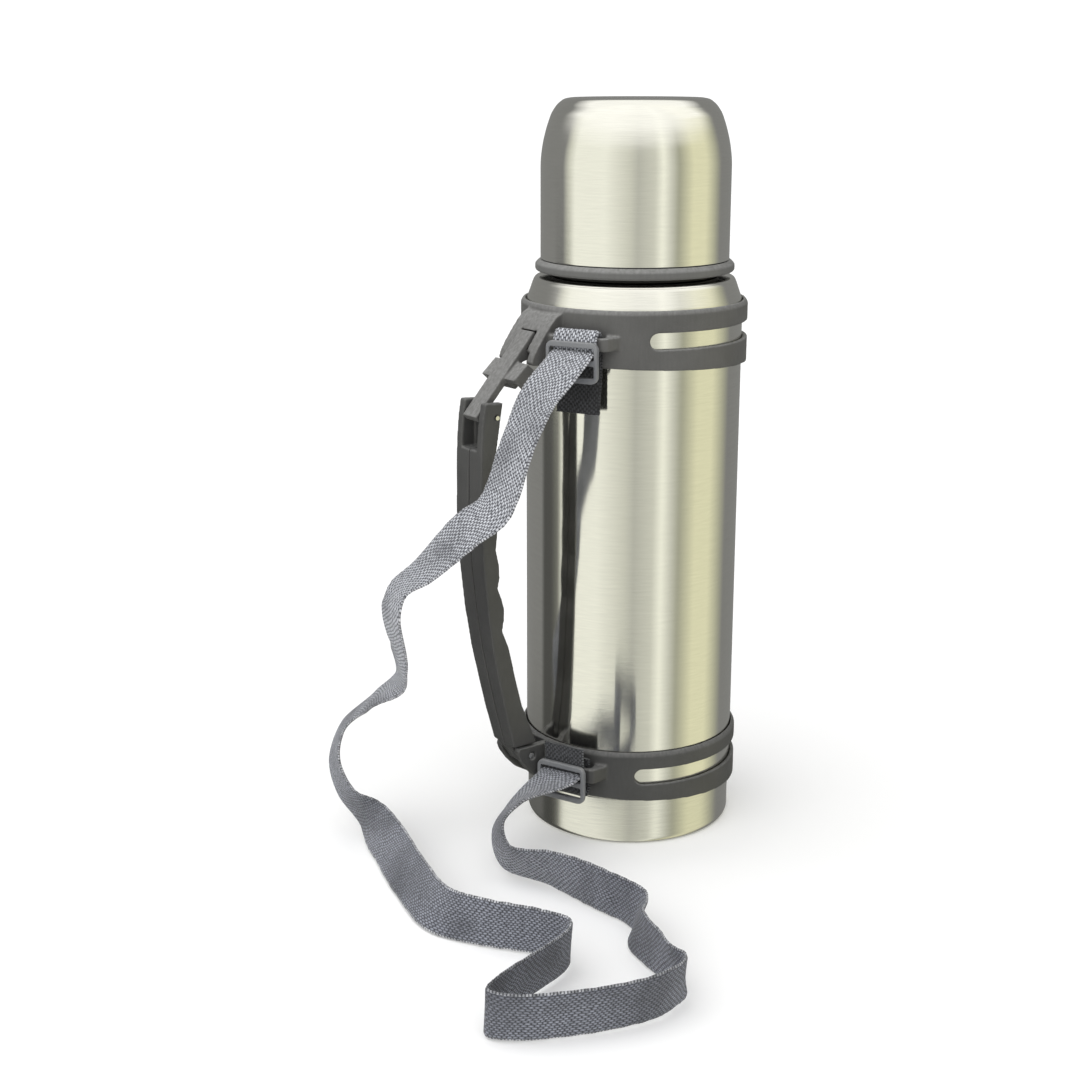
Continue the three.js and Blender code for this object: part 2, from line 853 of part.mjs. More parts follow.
const PIECES = [
  ["outer_shell", outerShell, steel],
  ["shell_shoulder", shellShoulder, steel],
  ["shell_neck", shellNeck, steel],
  ["inner_vessel", innerVessel, steel],
  ["vessel_shoulder", vesselShoulder, steel],
  ["outer_bottom", outerBottom, steel],
  ["vacuum_seal", vacuumSeal, steel],
  ["base_cap", baseCap, steel],
  ["neck_collar", neckCollar, blackPlastic],
  ["cup_shell", cupShell, steel],
  ["cup_liner", cupLiner, blackPlastic],
  ["cup_liner_crown", cupLinerCrown, blackPlastic],
  ["cup_liner_top", cupLinerTop, blackPlastic],
  ["cup_ring", cupRing, ringPlastic],
  ["stopper_body", stopperBody, blackPlastic],
  ["stopper_gasket", stopperGasket, rubber],
  ["rim_gasket", rimGasket, rubber],
  ["pour_button", pourButton, ringPlastic],
  ["button_spring", buttonSpring, steel],
  ["valve_stem", valveStem, blackPlastic],
  ["valve_seal", valveSeal, rubber],
  ["upper_band", upperBand, darkPlastic],
  ["lower_band", lowerBand, darkPlastic],
  ["handle_link", handleLink, darkPlastic],
  ["link_pin", linkPin, steel],
  ["grip_half_right", () => gripHalf(-1), darkPlastic],
  ["grip_half_left", () => gripHalf(1), darkPlastic],
  ["grip_cross_pin", crossPin, steel],
  ["lug_pin", lugPin, steel],
  ["shoulder_strap", strap, webbing],
  ["upper_strap_loop", upperLoop, webbing],
  ["lower_strap_loop", lowerLoop, webbing],
  ["upper_slider", () => slider(UPPER_STRAP_TURN, 217.3), buckle],
  ["lower_slider", () => slider(LOWER_STRAP_TURN, 31.3), buckle],
];

const flask = new THREE.Group();
flask.position.x = AXIS_X;
for (const [name, shape, material] of PIECES) {
  const mesh = new THREE.Mesh(shape(), material());
  mesh.name = name;
  flask.add(mesh);
}

export default flask;
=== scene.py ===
import math

import bmesh
import bpy
import numpy as np
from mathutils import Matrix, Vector


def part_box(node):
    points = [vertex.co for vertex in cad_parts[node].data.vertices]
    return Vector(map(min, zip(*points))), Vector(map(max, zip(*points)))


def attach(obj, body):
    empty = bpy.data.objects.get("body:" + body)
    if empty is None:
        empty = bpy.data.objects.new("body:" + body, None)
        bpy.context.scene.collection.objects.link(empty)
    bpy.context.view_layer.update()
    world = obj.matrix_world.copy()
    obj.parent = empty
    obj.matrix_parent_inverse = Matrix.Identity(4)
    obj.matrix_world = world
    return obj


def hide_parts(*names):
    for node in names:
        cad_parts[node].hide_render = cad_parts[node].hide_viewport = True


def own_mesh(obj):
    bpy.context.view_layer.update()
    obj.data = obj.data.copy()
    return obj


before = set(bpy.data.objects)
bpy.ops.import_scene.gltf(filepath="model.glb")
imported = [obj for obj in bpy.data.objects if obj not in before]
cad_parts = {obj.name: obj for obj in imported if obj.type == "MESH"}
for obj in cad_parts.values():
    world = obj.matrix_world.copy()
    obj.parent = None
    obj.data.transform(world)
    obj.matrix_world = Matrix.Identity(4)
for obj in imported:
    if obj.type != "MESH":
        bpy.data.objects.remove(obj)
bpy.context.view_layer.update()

MM = 0.001
SHELL_LOW, SHELL_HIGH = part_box("outer_shell")
AXIS_X = (SHELL_LOW.x + SHELL_HIGH.x) / 2  # where the flask's axis stands
AXIS = np.array([AXIS_X, 0, 0])
FACETS = 44  # facets round the CAD bands

# The webbing, in millimetres.
STRAP_WIDTH = 20.0
WEB = 1.4  # thickness
SELVEDGE = 0.7  # width of the stitched edge
EDGE_ROUND = 0.9  # how far in from its edge the webbing thins
CORD = 1.0  # width of one cord
PICK = 2.1  # length of one crossing of the weave

# Where the strap is fixed to each band, in degrees round the flask from the handle.
UPPER_STRAP_TURN = 25.5
LOWER_STRAP_TURN = 21.2

# ---- camera ---------------------------------------------------------------------------------

CAMERA_YAW = math.radians(-36)
CAMERA_PITCH = math.radians(15.24)
CAMERA_FROM_AXIS = (-0.4787, -0.5891)
CAMERA_HEIGHT = 0.3342
FOCAL_LENGTH = 57.9
LOOK = Vector((-math.sin(CAMERA_YAW), math.cos(CAMERA_YAW), 0))
RIGHT = Vector((LOOK.y, -LOOK.x, 0))

camera_data = bpy.data.cameras.new("camera")
camera_data.lens = FOCAL_LENGTH
camera_data.sensor_width = 36
camera_data.clip_start = 0.01
camera = bpy.data.objects.new("camera", camera_data)
camera.location = (AXIS_X + CAMERA_FROM_AXIS[0], CAMERA_FROM_AXIS[1], CAMERA_HEIGHT)
camera.rotation_euler = (math.pi / 2 - CAMERA_PITCH, 0, CAMERA_YAW)
bpy.context.scene.collection.objects.link(camera)
bpy.context.scene.camera = camera
bpy.context.scene.view_settings.view_transform = "Standard"

# ---- node helpers -----------------------------------------------------------------------------


class Graph:
    """A material's node tree, built with short calls."""

    def __init__(self, name):
        self.material = bpy.data.materials.new(name)
        self.material.use_nodes = True
        self.tree = self.material.node_tree
        self.shader = self.tree.nodes["Principled BSDF"]

    def node(self, kind, **settings):
        made = self.tree.nodes.new(kind)
        for key, value in settings.items():
            setattr(made, key, value)
        return made

    def put(self, value, socket):
        if isinstance(value, bpy.types.NodeSocket):
            self.tree.links.new(value, socket)
        else:
            socket.default_value = value

    def math(self, operation, a, b=None):
        made = self.node("ShaderNodeMath", operation=operation)
        self.put(a, made.inputs[0])
        if b is not None:
            self.put(b, made.inputs[1])
        return made.outputs[0]

    def place(self, scale):
        where = self.node("ShaderNodeTexCoord")
        mapping = self.node("ShaderNodeMapping")
        mapping.inputs["Scale"].default_value = scale
        self.tree.links.new(where.outputs["Object"], mapping.inputs["Vector"])
        return mapping.outputs[0]

    def noise(self, scale, detail=3.0, stretch=(1, 1, 1)):
        made = self.node("ShaderNodeTexNoise")
        made.inputs["Scale"].default_value = scale
        made.inputs["Detail"].default_value = detail
        self.tree.links.new(self.place(stretch), made.inputs["Vector"])
        return made.outputs["Fac"]

    def span(self, value, low, high, start=0.0, stop=1.0):
        made = self.node("ShaderNodeMapRange")
        self.put(value, made.inputs["Value"])
        made.inputs["From Min"].default_value = start
        made.inputs["From Max"].default_value = stop
        made.inputs["To Min"].default_value = low
        made.inputs["To Max"].default_value = high
        return made.outputs["Result"]

    def mix(self, factor, a, b):
        made = self.node("ShaderNodeMix", data_type="RGBA")
        self.put(factor, made.inputs["Factor"])
        self.put(a, made.inputs["A"])
        self.put(b, made.inputs["B"])
        return made.outputs["Result"]

    def bump(self, height, distance, strength):
        made = self.node("ShaderNodeBump")
        made.inputs["Strength"].default_value = strength
        made.inputs["Distance"].default_value = distance
        self.put(height, made.inputs["Height"])
        return made.outputs["Normal"]

    def finish(self, **values):
        for key, value in values.items():
            self.put(value, self.shader.inputs[key.replace("_", " ")])
        return self.material


def rgb(colour):
    r, g, b = colour
    return (r, g, b, 1.0)


# ---- materials --------------------------------------------------------------------------------

# Painted light: the pale tone laid on plastic faces that point up.
PAINTED_TOP_LIGHT = (0.34, 0.34, 0.335)
PAINTED_SHADOW_BLACK = (0.004, 0.004, 0.005)  # painted shadow: black for webbing tucked in behind a slider


def brushed_steel(name, dark, light, rough, stroke=1.0):
    """Steel brushed round the flask: short level strokes, and patches where the brush dug deeper."""
    g = Graph(name)
    lines = g.noise(1.0, 4.0, (150, 150, 7000 * stroke))
    coarse = g.noise(1.0, 3.0, (90, 90, 1700 * stroke))
    patches = g.noise(1.0, 3.0, (70, 70, 16))
    tone = g.math("ADD", g.math("MULTIPLY", lines, 0.5), g.math("MULTIPLY", coarse, 0.5))
    dug = g.span(patches, 0.3, 1.3, 0.42, 0.62)
    colour = g.mix(g.span(tone, 0, 1, 0.3, 0.7), rgb(dark), rgb(light))
    tangent = g.node("ShaderNodeTangent", direction_type="RADIAL", axis="Z")
    gloss = g.span(tone, rough + 0.03, rough - 0.03, 0.3, 0.7)
    return g.finish(
        Base_Color=colour,
        Metallic=1.0,
        Roughness=g.math("ADD", gloss, g.span(dug, 0, 0.02)),
        Anisotropic=0.8,
        Anisotropic_Rotation=0.25,
        Tangent=tangent.outputs[0],
        Normal=g.bump(g.math("MULTIPLY", tone, dug), 0.00004, 0.4),
    )


def plain_steel(name, dark, light, rough):
    g = Graph(name)
    tone = g.noise(300.0, 3.0)
    return g.finish(
        Base_Color=g.mix(tone, rgb(dark), rgb(light)),
        Metallic=1.0,
        Roughness=g.span(tone, rough, rough + 0.08),
        Normal=g.bump(tone, 0.00002, 0.4),
    )


def moulded(name, dark, light, rough, grain=2400.0, depth=0.00009, painted_top_light=0.0):
    """Moulded plastic with a fine spark-eroded grain, an uneven tone and painted light that lightens
    what faces up.
    """
    g = Graph(name)
    fine = g.noise(grain * 2, 2.0)
    pits = g.noise(grain, 3.0)
    broad = g.noise(45.0, 3.0)
    height = g.math("ADD", g.math("MULTIPLY", fine, 0.4), g.math("MULTIPLY", pits, 0.6))
    scuffs = g.noise(1.0, 5.0, (900, 900, 160))
    tone = g.math("ADD", g.math("MULTIPLY", broad, 0.5), g.math("MULTIPLY", scuffs, 0.2))
    tone = g.math("ADD", tone, g.math("MULTIPLY", pits, 0.3))
    colour = g.mix(g.span(tone, 0, 1, 0.32, 0.68), rgb(dark), rgb(light))
    facing = g.node("ShaderNodeNewGeometry")
    parts = g.node("ShaderNodeSeparateXYZ")
    g.tree.links.new(facing.outputs["Normal"], parts.inputs[0])
    # Painted light: faces that point up are lightened towards the pale tone, broken up by the scuffs
    # noise.
    facing_up = g.span(parts.outputs[2], 0, painted_top_light, 0.1, 0.85)
    painted_top_light_mask = g.math("MULTIPLY", facing_up, g.span(scuffs, 0.6, 1.3, 0.35, 0.65))
    colour = g.mix(painted_top_light_mask, colour, rgb(PAINTED_TOP_LIGHT))
    return g.finish(
        Base_Color=colour,
        Roughness=g.span(pits, rough - 0.06, rough + 0.08, 0.3, 0.7),
        Normal=g.bump(height, depth, 0.8),
    )


def woven(name, dark, light, edge, painted_shade_colour, painted_shadow_from=None):
    """Webbing: staggered rows of cords across a strap whose UV map is in millimetres.

    Painted shade: the cords fade from light to a darker cord colour along the strap, whose length is
    given in millimetres, and a loop is painted black as shadow from the length at which it is tucked in
    behind its slider.
    """
    g = Graph(name)
    uv = g.node("ShaderNodeUVMap", uv_map="weave")
    parts = g.node("ShaderNodeSeparateXYZ")
    g.tree.links.new(uv.outputs[0], parts.inputs[0])
    across, along = parts.outputs[0], parts.outputs[1]

    def on_strap(scale_across, scale_along, detail):
        stretch = g.node("ShaderNodeVectorMath", operation="MULTIPLY")
        g.tree.links.new(uv.outputs[0], stretch.inputs[0])
        stretch.inputs[1].default_value = (scale_across, scale_along, 1.0)
        made = g.node("ShaderNodeTexNoise")
        made.inputs["Scale"].default_value = 1.0
        made.inputs["Detail"].default_value = detail
        g.tree.links.new(stretch.outputs[0], made.inputs["Vector"])
        return made.outputs["Fac"]

    pull = on_strap(0.11, 0.07, 1.0)
    row = g.math("ADD", g.math("DIVIDE", across, CORD), g.span(pull, -0.6, 0.6))
    stagger = g.math("MULTIPLY", g.math("FLOOR", row), 0.5)
    turn = g.math("ADD", g.math("DIVIDE", along, PICK), g.math("ADD", stagger, g.span(pull, 1.1, -1.1)))
    swell = g.math("ABSOLUTE", g.math("SINE", g.math("MULTIPLY", turn, math.pi)))
    belly = g.math("ABSOLUTE", g.math("SINE", g.math("MULTIPLY", row, math.pi)))
    cords = g.math("MULTIPLY", g.math("POWER", swell, 0.8), g.math("POWER", belly, 0.5))
    fibre = on_strap(6.0, 1.1, 4.0)
    uneven = on_strap(0.9, 0.45, 2.0)
    height = g.math("ADD", cords, g.math("MULTIPLY", fibre, 0.35))
    shade = g.math("MULTIPLY", cords, g.span(fibre, 0.6, 1.3, 0.3, 0.7))
    shade = g.math("MULTIPLY", shade, g.span(uneven, 0.6, 1.3, 0.3, 0.7))
    # Painted shade: the cords darken from 150 to 330 mm along the strap, then partly lighten again from
    # 650 to 740 mm.
    painted_shade_fade = g.math("SUBTRACT", g.span(along, 0, 1, 150, 330), g.span(along, 0, 0.6, 650, 740))
    cord_colour = g.mix(painted_shade_fade, rgb(light), rgb(painted_shade_colour))
    body = g.mix(g.span(shade, 0, 1, 0.1, 0.95), rgb(dark), cord_colour)
    side = g.math("ABSOLUTE", g.math("SUBTRACT", across, STRAP_WIDTH / 2))
    rim = g.math("GREATER_THAN", side, STRAP_WIDTH / 2 - SELVEDGE)
    picks = g.math("ABSOLUTE", g.math("SINE", g.math("MULTIPLY", along, math.pi / PICK * 1.7)))
    picks = g.math("MULTIPLY", picks, g.span(uneven, 0.35, 1.1, 0.35, 0.65))
    rim_colour = g.mix(g.span(picks, 0, 1, 0.1, 0.9), rgb(dark), rgb(edge))
    base = g.mix(rim, body, rim_colour)
    wide = on_strap(0.03, 0.028, 2.0)
    base = g.mix(g.span(wide, 0.0, 0.5, 0.47, 0.66), base, rgb(dark))
    if painted_shadow_from is not None:
        # Painted shadow: the loop turns black from the given length on, where it runs behind its slider.
        painted_shadow_mask = g.span(along, 0, 0.9, painted_shadow_from, painted_shadow_from + 4)
        base = g.mix(painted_shadow_mask, base, rgb(PAINTED_SHADOW_BLACK))
    return g.finish(
        Base_Color=base,
        Roughness=g.span(fibre, 0.62, 0.9),
        Normal=g.bump(height, 0.00035, 0.9),
        Sheen_Weight=0.15,
        Sheen_Roughness=0.5,
    )


STEEL_BODY = brushed_steel("steel_body", (0.77, 0.765, 0.735), (0.84, 0.835, 0.8), 0.1)
STEEL_CUP = brushed_steel("steel_cup", (0.79, 0.785, 0.755), (0.86, 0.855, 0.82), 0.1, 1.2)
STEEL_BASE = brushed_steel("steel_base", (0.7, 0.695, 0.67), (0.79, 0.785, 0.75), 0.18)
STEEL_INSIDE = plain_steel("steel_inside", (0.6, 0.6, 0.585), (0.74, 0.74, 0.72), 0.26)
PIN_STEEL = plain_steel("pin_steel", (0.7, 0.7, 0.7), (0.85, 0.85, 0.85), 0.16)
BAND = moulded("band_plastic", (0.044, 0.044, 0.044), (0.068, 0.068, 0.067), 0.44, painted_top_light=0.25)
# Painted light: a lighter copy of the band plastic, for the upper band and the link, which catch more
# light from above.
BAND_PAINTED_LIGHT = moulded("band_plastic_painted_light", (0.074, 0.073, 0.071), (0.112, 0.111, 0.108), 0.46, painted_top_light=0.5)
RING = moulded("ring_plastic", (0.1, 0.1, 0.097), (0.14, 0.14, 0.136), 0.4, painted_top_light=0.5)
BLACK = moulded("black_plastic", (0.008, 0.008, 0.008), (0.016, 0.016, 0.016), 0.5)
SEAL = moulded("seal_rubber", (0.24, 0.24, 0.23), (0.33, 0.33, 0.32), 0.62)
BUCKLE = moulded("buckle_plastic", (0.15, 0.155, 0.165), (0.2, 0.205, 0.215), 0.34, 4000.0, 0.00003, 0.3)
LIGHT_CORD = (0.66, 0.68, 0.73)
# Painted shade: the darker cord colour for the strap's low run.
PAINTED_SHADE_CORD = (0.31, 0.325, 0.38)
GAP_BETWEEN = (0.03, 0.032, 0.04)
STRAP_EDGE = (0.62, 0.63, 0.66)
LOOP_EDGE = (0.5, 0.51, 0.54)
# Painted shade: darkened copies of the webbing colours, for the lower loop.
PAINTED_SHADE_LOOP_GAP = (0.01, 0.01, 0.012)
PAINTED_SHADE_LOOP_CORD = (0.09, 0.094, 0.104)
PAINTED_SHADE_LOOP_EDGE = (0.12, 0.125, 0.13)
WEBBING = woven("webbing", GAP_BETWEEN, LIGHT_CORD, STRAP_EDGE, PAINTED_SHADE_CORD)
# The upper loop: painted shadow, black from 13 mm along, on its part behind the slider.
WEBBING_LOOP = woven("webbing_loop", GAP_BETWEEN, LIGHT_CORD, LOOP_EDGE, PAINTED_SHADE_CORD, 13.0)
# The lower loop's webbing, with painted shade throughout.
WEBBING_PAINTED_SHADE = woven("webbing_painted_shade", PAINTED_SHADE_LOOP_GAP, PAINTED_SHADE_LOOP_CORD, PAINTED_SHADE_LOOP_EDGE, PAINTED_SHADE_CORD)

# ---- mesh helpers -----------------------------------------------------------------------------

ON_AXIS = 1e-6  # a radius below this is on the axis
HOLD = 0.25  # from the end of a rounded corner to the point that keeps its side flat


def keep(mesh, name, material, body, nodes):
    piece = bpy.data.objects.new(name, mesh)
    bpy.context.scene.collection.objects.link(piece)
    piece.data.materials.clear()
    piece.data.materials.append(material)
    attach(piece, body)
    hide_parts(*nodes)
    return piece


def rounded(outline, radius, steps=4):
    """Rounds every corner of a closed outline, with a point on each side to hold the flats flat."""
    points = []
    count = len(outline)
    for i in range(count):
        before, corner, after = (np.array(outline[(i + k) % count], float) for k in (-1, 0, 1))
        if corner[0] < ON_AXIS:
            points.append(tuple(corner))
            continue
        back, forth = before - corner, after - corner
        far_back, far_forth = np.linalg.norm(back), np.linalg.norm(forth)
        reach = min(radius, 0.4 * far_back, 0.4 * far_forth)
        start = corner + back / far_back * reach
        stop = corner + forth / far_forth * reach
        hold_back = corner + back / far_back * min(reach + HOLD, 0.5 * far_back)
        hold_forth = corner + forth / far_forth * min(reach + HOLD, 0.5 * far_forth)
        points.append(tuple(hold_back))
        for k in range(steps + 1):
            t = k / steps
            points.append(tuple((1 - t) ** 2 * start + 2 * t * (1 - t) * corner + t * t * stop))
        points.append(tuple(hold_forth))
    return points


def turned(name, outline, material, body, nodes, radius=0.4, facets=160):
    """Turns a closed [radius, height] outline, in millimetres, round the flask's axis."""
    points = rounded(outline, radius)
    on_axis = [r < ON_AXIS for r, _ in points]
    mesh_points = []
    rows = []
    for (r, z), middle in zip(points, on_axis):
        if middle:
            rows.append([len(mesh_points)] * facets)
            mesh_points.append((AXIS_X, 0, z * MM))
            continue
        rows.append(list(range(len(mesh_points), len(mesh_points) + facets)))
        for k in range(facets):
            a = 2 * math.pi * k / facets
            mesh_points.append((AXIS_X + r * MM * math.cos(a), r * MM * math.sin(a), z * MM))
    faces = []
    for i in range(len(rows)):
        j = (i + 1) % len(rows)
        if on_axis[i] and on_axis[j]:
            continue
        for k in range(facets):
            n = (k + 1) % facets
            corners = [rows[i][k], rows[i][n], rows[j][n], rows[j][k]]
            faces.append(list(dict.fromkeys(corners)))
    mesh = bpy.data.meshes.new(name)
    mesh.from_pydata(mesh_points, [], faces)
    mesh.shade_smooth()
    mesh.update()
    return keep(mesh, name, material, body, nodes)


def cad_copy(node):
    """A welded copy of a CAD node's mesh."""
    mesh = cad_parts[node].data.copy()
    mesh.name = node + "_copy"
    bm = bmesh.new()
    bm.from_mesh(mesh)
    bmesh.ops.remove_doubles(bm, verts=bm.verts, dist=1e-6)
    bm.to_mesh(mesh)
    bm.free()
    return mesh


def eased(name, node, material, body, angle=32.0):
    """A CAD node with its facets shaded round and its real corners kept."""
    mesh = cad_copy(node)
    mesh.name = name
    mesh.shade_smooth()
    mesh.set_sharp_from_angle(angle=math.radians(angle))
    return keep(mesh, name, material, body, [node])


def moulding(name, node, material, body, voxel=0.5, passes=3, about_axis=False):
    """A CAD node remeshed finely, with its corners rounded as a moulding's are."""
    mesh = cad_copy(node)
    mesh.name = name
    piece = keep(mesh, name, material, body, [node])
    modifier = piece.modifiers.new("remesh", "REMESH")
    modifier.mode = "VOXEL"
    modifier.voxel_size = voxel * MM
    modifier.use_smooth_shade = True
    depsgraph = bpy.context.evaluated_depsgraph_get()
    fine = bpy.data.meshes.new_from_object(piece.evaluated_get(depsgraph))
    piece.modifiers.clear()
    if about_axis:
        round_off(fine)
    smooth(fine, passes)
    piece.data = fine
    piece.data.name = name
    fine.materials.clear()
    fine.materials.append(material)
    fine.shade_smooth()
    return piece


def round_off(mesh):
    """Moves the flat facets of a hoop out on to the circle that they stand for."""
    count = len(mesh.vertices)
    co = np.empty(count * 3)
    mesh.vertices.foreach_get("co", co)
    co = co.reshape(-1, 3)
    x, y = co[:, 0] - AXIS_X, co[:, 1]
    step = 2 * math.pi / FACETS
    turn = np.arctan2(x, y)
    off = (turn % step) - step / 2
    grow = np.cos(off) / math.cos(step / 2)
    co[:, 0] = AXIS_X + x * grow
    co[:, 1] = y * grow
    mesh.vertices.foreach_set("co", co.reshape(-1))
    mesh.update()


def smooth(mesh, passes):
    """Softens a mesh's corners, a little more with each pass."""
    every_way = {"use_axis_x": True, "use_axis_y": True, "use_axis_z": True}
    bm = bmesh.new()
    bm.from_mesh(mesh)
    for _ in range(passes):
        bmesh.ops.smooth_vert(bm, verts=bm.verts, factor=0.5, **every_way)
    bm.to_mesh(mesh)
    bm.free()
    mesh.update()


# ---- strap ------------------------------------------------------------------------------------

# The strap's route from the upper slider to the lower one: x, y and z in millimetres from the foot
# of the flask's axis, then the way its width points there.
STRAP_ROUTE = [
    (-52.2, -24.9, 221.3, 0.43, -0.9, 0), (-55, -26, 219.3, 0.43, -0.9, 0),
    (-62.5, -27.5, 213.6, 0.38, -0.92, -0.04), (-71, -27, 205, 0.22, -0.97, -0.12),
    (-83, -29, 187, 0.16, -0.98, 0.04), (-92, -25, 161, 0.08, -0.97, -0.24),
    (-101, -18, 152, 0, -0.94, -0.35), (-115, -6, 134, -0.2, -0.96, -0.18),
    (-124, -2, 127, -0.2, -0.98, 0), (-127, -1, 118, -0.18, -0.98, 0.06),
    (-118, 9, 93, -0.33, -0.92, 0.22), (-110, 26, 76, -0.42, -0.88, 0.2),
    (-112, 43, 62, -0.42, -0.88, 0.2), (-121, 53, 49, -0.38, -0.88, 0.29),
    (-126, 53, 35, -0.26, -0.89, 0.38), (-124, 48, 20, -0.08, -0.92, 0.38),
    (-120, 36, 11.8, 0.08, -0.88, 0.46), (-124, 12, 9.3, 0.2, -0.8, 0.56),
    (-134, -22, 9.4, 0.3, -0.66, 0.69), (-141, -56, 10.1, 0.34, -0.48, 0.8),
    (-134, -75, 10.6, 0.2, -0.22, 0.95), (-121, -95, 10.9, 0.05, -0.15, 0.98),
    (-115.5, -107, 10.9, -0.05, -0.17, 0.98), (-120, -113, 10.9, -0.1, -0.2, 0.97),
    (-162, -127, 10.8, -0.14, -0.2, 0.97), (-170.5, -133, 10.9, -0.02, -0.11, 0.99),
    (-165, -141.5, 10.9, -0.1, -0.1, 0.99), (-137, -155, 10.8, -0.13, -0.12, 0.98),
    (-112, -160, 11, -0.18, -0.15, 0.97), (-97, -154, 10.6, -0.32, -0.38, 0.87),
    (-94, -138, 10.5, -0.12, -0.47, 0.87), (-88, -116, 10.4, -0.05, -0.5, 0.86),
    (-77.5, -103, 10.4, 0, -0.42, 0.9), (-79, -80, 10.5, 0.03, -0.37, 0.93),
    (-84, -54, 10.4, -0.1, -0.45, 0.89), (-94, -35, 12, -0.17, -0.68, 0.71),
    (-92, -26.5, 21.5, -0.27, -0.79, 0.55), (-82, -24.5, 28.5, -0.3, -0.86, 0.42),
    (-57.2, -22.2, 34.5, 0.36, -0.93, 0), (-54, -20.9, 35.3, 0.36, -0.93, 0),
]


def curve_through(points, per_span):
    """A centripetal Catmull-Rom curve through the points, as the CAD solid's is."""
    p = np.array(points, float)
    p = np.vstack([2 * p[0] - p[1], p, 2 * p[-1] - p[-2]])
    out = []
    for i in range(1, len(p) - 2):
        p0, p1, p2, p3 = p[i - 1 : i + 3]
        d0, d1, d2 = (max(np.linalg.norm(b - a) ** 0.5, 1e-4) for a, b in ((p0, p1), (p1, p2), (p2, p3)))
        t1 = ((p1 - p0) / d0 - (p2 - p0) / (d0 + d1) + (p2 - p1) / d1) * d1
        t2 = ((p2 - p1) / d1 - (p3 - p1) / (d1 + d2) + (p3 - p2) / d2) * d1
        for k in range(per_span):
            t = k / per_span
            c2 = -3 * p1 + 3 * p2 - 2 * t1 - t2
            c3 = 2 * p1 - 2 * p2 + t1 + t2
            out.append(p1 + t1 * t + c2 * t * t + c3 * t**3)
    out.append(p[-2])
    return np.array(out)


def ribbon(name, centre, width_way, material, body, nodes):
    """Webbing along a line: a flat section with rounded selvedges and a UV map in millimetres."""
    centre = np.array(centre, float)
    along = np.gradient(centre, axis=0)
    along /= np.linalg.norm(along, axis=1)[:, None]
    width = np.array(width_way, float)
    width -= along * (width * along).sum(1)[:, None]
    width /= np.linalg.norm(width, axis=1)[:, None]
    face = np.cross(along, width)
    half, thick = STRAP_WIDTH / 2, WEB / 2
    section = []
    count = 16
    for k in range(count + 1):
        u = -half + 2 * half * k / count
        edge = min(1.0, (half - abs(u)) / EDGE_ROUND)
        section.append((u, thick * math.sqrt(max(edge * (2 - edge), 0.06))))
    section = section + [(u, -h) for u, h in reversed(section)]
    length = np.concatenate([[0], np.cumsum(np.linalg.norm(np.diff(centre, axis=0), axis=1))])
    points, faces, uvs = [], [], []
    n = len(section)
    for i in range(len(centre)):
        fray = 0.2 * math.sin(2.9 * length[i]) * math.sin(0.83 * length[i] + 1)
        for u, h in section:
            u += fray * (abs(u) > half - SELVEDGE)
            points.append(tuple((centre[i] + width[i] * u + face[i] * h) * MM + AXIS))
    for i in range(len(centre) - 1):
        for k in range(n):
            m = (k + 1) % n
            corners = ((k, i), (m, i), (m, i + 1), (k, i + 1))
            faces.append(tuple(r * n + q for q, r in corners))
            uvs.append([(section[q][0] + half, length[r]) for q, r in corners])
    for row, order in ((0, range(n - 1, -1, -1)), (len(centre) - 1, range(n))):
        faces.append(tuple(row * n + k for k in order))
        uvs.append([(0.3, length[row] + 0.2 * k) for k in range(n)])
    mesh = bpy.data.meshes.new(name)
    mesh.from_pydata(points, [], faces)
    layer = mesh.uv_layers.new(name="weave")
    flat = [c for face_uv in uvs for uv in face_uv for c in uv]
    layer.data.foreach_set("uv", flat)
    mesh.shade_smooth()
    mesh.set_sharp_from_angle(angle=math.radians(50))
    mesh.update()
    return keep(mesh, name, material, body, nodes)


def strap_frame(turn):
    """Outward and sideways directions where a band's strap is fixed."""
    a = math.radians(turn)
    return np.array([-math.cos(a), -math.sin(a), 0]), np.array([math.sin(a), -math.cos(a), 0])


def webbing_loop(name, path, turn, node, material):
    out, side = strap_frame(turn)
    line = curve_through([out * n + np.array([0, 0, z]) for n, z in path], 10)
    return ribbon(name, line, np.tile(side, (len(line), 1)), material, "flask", [node])


route = np.array(STRAP_ROUTE)
strap_line = curve_through(route[:, :3], 12)
strap_width = curve_through(route[:, 3:], 12)
strap = ribbon("strap", strap_line, strap_width, WEBBING, "flask", ["shoulder_strap"])

# The short loops that tie the sliders to the bands: distance from the axis, and height.
UPPER_LOOP = [
    (56.0, 219.6), (56.0, 226.4), (53.5, 229.6), (50.7, 226.4), (50.7, 212.0), (51.6, 204.0),
    (52.8, 195.0),
]
LOWER_LOOP = [(56.2, 47.4), (56.0, 40.0), (56.0, 27.6), (53.5, 24.8), (50.7, 27.6), (50.7, 41.0)]
upper_loop = webbing_loop(
    "strap_loop_upper", UPPER_LOOP, UPPER_STRAP_TURN, "upper_strap_loop", WEBBING_LOOP
)
lower_loop = webbing_loop(
    "strap_loop_lower", LOWER_LOOP, LOWER_STRAP_TURN, "lower_strap_loop", WEBBING_PAINTED_SHADE
)
upper_slider = moulding("slider_upper", "upper_slider", BUCKLE, "flask", 0.3, 3)
lower_slider = moulding("slider_lower", "lower_slider", BUCKLE, "flask", 0.3, 3)

# ---- flask ------------------------------------------------------------------------------------

